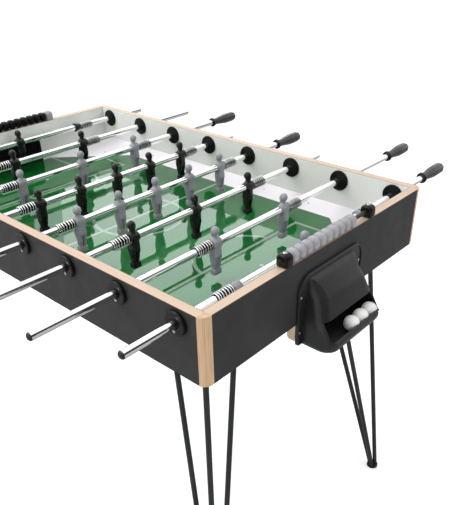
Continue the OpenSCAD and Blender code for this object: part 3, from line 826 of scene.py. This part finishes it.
# ---------- ball boxes ----------

def box_place(sign):
    """From a ball box's own coordinates (out from the end, across, below the rim) to the table's."""
    def place(k, y, z):
        return (sign * (HALF_L + k), sign * (BOX_SHIFT + y), RIM_Z + z)
    return place


def flange_outline(g):
    """The flange's outline across its end, drawn in by g."""
    w = 111.0 - g
    top, bottom = -35.0 - g, -190.0 + g
    big, small = 34.0 - g, 9.0
    return rounded_polygon([(-w, bottom), (w, bottom), (w, top), (-w, top)], [small, small, big, big], 8)


def between(table, z):
    """The value at z in a table of (z, value) rows, falling in z."""
    for (z0, v0), (z1, v1) in zip(table, table[1:]):
        if z >= z1:
            return v0 + (v1 - v0) * (z0 - z) / (z0 - z1)
    return table[-1][1]


BOX_WALL = 2.5
MOUTH_TOP, MOUTH_BOTTOM, MOUTH_HALF = -127.0, -166.0, 86.0
TRAY_Z = -188.2
HOOD_FRONT = [(-45, 1), (-53, 12), (-91, 39), (MOUTH_TOP, 52), (MOUTH_BOTTOM, 75), (-178, 78), (-188, 74),
              (-195, 66), (-196, 54)]
HOOD_HALF = [(-45, 77), (-53, 79), (-91, 83), (MOUTH_TOP, 92), (-142, 96), (-182, 96), (-190, 93), (-195, 88),
             (-196, 80)]


def hood_solid(inset, back, lowest):
    """The hood as a stack of level outlines, drawn in by inset, from its top down to lowest."""
    levels = [-45.0, -49.0] + [-53.0 - 4.75 * k for k in range(29)] + [-188.0, -192.0, -195.0, -196.0]
    levels = [z for z in levels if z > lowest] + [lowest]
    bm = bmesh.new()
    rings = []
    for z in levels:
        shown = z - inset if z > -60 else z
        front = max(between(HOOD_FRONT, min(z + 1.2 * inset, -45.0)) - inset, 1.0)
        half = between(HOOD_HALF, z) - inset
        corner = min(24.0 - inset, 0.92 * (front - back))
        outline = rounded_polygon([(back, -half), (front, -half), (front, half), (back, half)],
                                  [0, corner, corner, 0], 7)
        rings.append([(k, y, shown) for k, y in outline])
    add_loft(bm, rings)
    return fix_normals(bm)


def build_ball_box(sign, node):
    """A flange on the cabinet's end and a hood over a tray, open to the goal mouth behind it."""
    place = box_place(sign)
    bm = bmesh.new()
    # flange: a plate with a raised rim and a groove inside it
    levels = [(0.0, 0.0), (4.8, 0.0), (6.0, 1.2), (6.0, 3.4), (5.4, 4.0), (3.4, 4.4)]
    add_loft(bm, [[(k, y, z) for y, z in flange_outline(g)] for k, g in levels])
    bm = cut(fix_normals(bm), hood_solid(BOX_WALL, -1.0, TRAY_Z))
    hood = cut(hood_solid(0.0, 0.5, -196.0), hood_solid(BOX_WALL, -1.0, TRAY_Z))
    mouth = [(44, MOUTH_TOP - 1), (82, MOUTH_TOP - 1), (105, MOUTH_BOTTOM), (67, MOUTH_BOTTOM)]
    cutter = prism(mouth, -MOUTH_HALF, MOUTH_HALF, lambda a, b, c: (a, c, b))
    hood = cut(hood, bevelled(cutter, 2.0, 2, 60))
    add_mesh(bm, hood)
    hood.free()
    # rolled lip along the mouth's lower edge
    lip = bmesh.new()
    reach = MOUTH_HALF - 3
    add_loft(lip, [ring_y(y, r, 12, 74.2, MOUTH_BOTTOM - 0.4) for y, r in
                   ((-reach, 0.8), (-reach + 1, 1.9), (reach - 1, 1.9), (reach, 0.8))])
    add_mesh(bm, fix_normals(lip))
    lip.free()
    for v in bm.verts:
        v.co = Vector(place(*v.co))
    obj = make(f"{node}_moulded", fix_normals(bm), box_black, "table", "box_black", sharp=38)
    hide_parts(node)


build_ball_box(1, "ball_box_near")
build_ball_box(-1, "ball_box_far")


# ---------- studio ----------

def plane(name, points, material):
    """A square of the studio, not a piece of the table."""
    mesh = bpy.data.meshes.new(name)
    mesh.from_pydata(points, [], [(0, 1, 2, 3)])
    mesh.materials.append(material)
    obj = bpy.data.objects.new(name, mesh)
    scene.collection.objects.link(obj)
    return obj


def floor_white():
    """White paper: it looks a little brighter than it lights, and the chrome mirrors it as grey."""
    n = Nodes("floor_white").set(Roughness=0.9)
    tone = n.ramp(n.noise(0.4, 2.0), [(0.3, (0.90, 0.90, 0.90)), (0.7, (0.92, 0.92, 0.92))])
    path = n.add("ShaderNodeLightPath")
    n.put(n.math("MULTIPLY", path.outputs["Is Camera Ray"], 0.33), n.shader.inputs["Emission Strength"])
    n.colour(n.mix(path.outputs["Is Glossy Ray"], tone, (0.42, 0.42, 0.42)))
    return n.material


FAR = 30.0                    # how far the floor reaches, in metres
plane("floor", [(-FAR, -FAR, 0), (FAR, -FAR, 0), (FAR, FAR, 0), (-FAR, FAR, 0)], floor_white())


def area_light(name, place, target, size, power, mirrored=True):
    """A square soft box; one that isn't mirrored lights the table but isn't seen in its chrome."""
    data = bpy.data.lights.new(name, "AREA")
    data.energy = power
    data.size = size
    obj = bpy.data.objects.new(name, data)
    scene.collection.objects.link(obj)
    obj.location = place
    obj.rotation_euler = (Vector(target) - Vector(place)).to_track_quat("-Z", "Y").to_euler()
    obj.visible_glossy = mirrored


area_light("key", (-1.4, -1.2, 3.6), (0, 0, 0.85), 2.6, 70)
area_light("back", (-2.6, 2.6, 2.6), (0, 0, 0.85), 2.2, 17)
area_light("left", (-1.5, -3.6, 1.9), (0, 0, 0.8), 2.0, 24, mirrored=False)
area_light("right", (3.4, 0.6, 2.2), (0, 0, 0.7), 2.0, 22, mirrored=False)

world = bpy.data.worlds.new("studio")
scene.world = world
world.use_nodes = True
wt = world.node_tree
axes = wt.nodes.new("ShaderNodeSeparateXYZ")
wt.links.new(wt.nodes.new("ShaderNodeTexCoord").outputs["Generated"], axes.inputs[0])


def sky(strength, stops, axis=2):
    """A backdrop whose brightness follows the height above the horizon, or another axis of the direction."""
    ramp = wt.nodes.new("ShaderNodeValToRGB")
    while len(ramp.color_ramp.elements) < len(stops):
        ramp.color_ramp.elements.new(0.5)
    for element, (position, value) in zip(ramp.color_ramp.elements, stops):
        element.position = position
        element.color = (value, value, value, 1)
    wt.links.new(axes.outputs[axis], ramp.inputs["Fac"])
    shader = wt.nodes.new("ShaderNodeBackground")
    shader.inputs["Strength"].default_value = strength
    wt.links.new(ramp.outputs["Color"], shader.inputs["Color"])
    return shader.outputs[0]


def choose(factor, if_not, if_so):
    """One backdrop or the other, by the kind of ray."""
    mix = wt.nodes.new("ShaderNodeMixShader")
    wt.links.new(factor, mix.inputs[0])
    wt.links.new(if_not, mix.inputs[1])
    wt.links.new(if_so, mix.inputs[2])
    return mix.outputs[0]


path = wt.nodes.new("ShaderNodeLightPath")
soft = sky(0.9, [(0.02, 0.55), (0.55, 1.0)])
mirrored = sky(1.15, [(0.0, 1.0), (0.60, 1.0), (0.68, 0.04), (1.0, 0.04)], axis=0)
seen = sky(1.0, [(0.0, 1.0), (1.0, 1.0)])
backdrop = choose(path.outputs["Is Camera Ray"], choose(path.outputs["Is Glossy Ray"], soft, mirrored), seen)
wt.links.new(backdrop, wt.nodes["World Output"].inputs["Surface"])
scene.view_settings.view_transform = "Standard"
scene.view_settings.look = "None"


# ---------- camera ----------

RIGHT = Vector((0.751681, 0.659439, -0.010798))      # the picture's axes in the table's frame
DOWN = Vector((0.348778, -0.411353, -0.842106))
FORWARD = Vector((-0.559759, 0.629229, -0.539204))
EYE = (1.15436, -0.92703, 0.53216 + RIM_Z * MM)      # where the camera stands, in metres
FRAME_W, FRAME_H = 452.0, 505.0
FOCAL = 613.295               # in units where the frame is FRAME_H high
CENTRE = (235.99, 308.84)     # where the lens axis meets the frame, in the same units
SENSOR = 36.0
camera_data = bpy.data.cameras.new("camera")
camera = bpy.data.objects.new("camera", camera_data)
scene.collection.objects.link(camera)
turn = Matrix((RIGHT, -DOWN, -FORWARD)).transposed().to_4x4()
camera.matrix_world = Matrix.Translation(EYE) @ turn
camera_data.sensor_width = SENSOR
camera_data.lens = FOCAL / FRAME_H * SENSOR
camera_data.shift_x = -(CENTRE[0] - FRAME_W / 2) / FRAME_H
camera_data.shift_y = (CENTRE[1] - FRAME_H / 2) / FRAME_H
camera_data.clip_end = 100.0
scene.camera = camera
